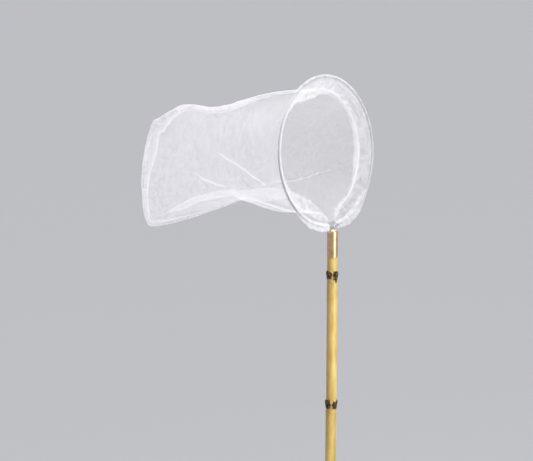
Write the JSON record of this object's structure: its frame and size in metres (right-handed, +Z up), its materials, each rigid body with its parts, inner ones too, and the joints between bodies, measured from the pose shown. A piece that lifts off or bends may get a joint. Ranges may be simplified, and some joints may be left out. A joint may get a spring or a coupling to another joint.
{
  "type": "pond net",
  "caption": "Pond net: a jointed bamboo cane handle with a metal ferrule, a wire hoop and a white mesh bag sewn round it, closed by a flat end seam.",
  "frame": {"origin": "centre of the sawn butt end of the cane", "axes": "+Z up along the cane towards the hoop, +Y the way the bag stands out from the hoop, +X to the right seen from the hoop's mouth"},
  "size_m": [0.2252, 0.4071, 1.0285],
  "materials": {
    "bamboo": "natural skin, satin",
    "ferrule_metal": "satin",
    "wedge_wood": "split",
    "wire": "galvanised",
    "hem_mesh": "folded nylon mesh",
    "bag_mesh": "fine nylon mesh",
    "thread": "sewing thread"
  },
  "bodies": {
    "frame": {"cane": "bamboo", "ferrule": "ferrule_metal", "wedge": "wedge_wood", "hoop": "wire", "hem_casing": "hem_mesh", "hem_thread_front": "thread", "hem_thread_back": "thread"},
    "bag": {"bag_neck": "bag_mesh", "bag_left_panel": "bag_mesh", "bag_right_panel": "bag_mesh", "bag_seam": "hem_mesh", "seam_thread_left": "thread", "seam_thread_right": "thread"}
  },
  "joints": [
    {"name": "bag_swing", "type": "hinge", "parent": "frame", "child": "bag", "pos_m": [0, 0.05813, 0.91186], "axis": [1, 0, 0], "range_deg": [-35, 25], "stiffness_Nm_per_rad": 0.5, "springref_deg": 5.73, "deforming": ["bag_neck"]}
  ]
}
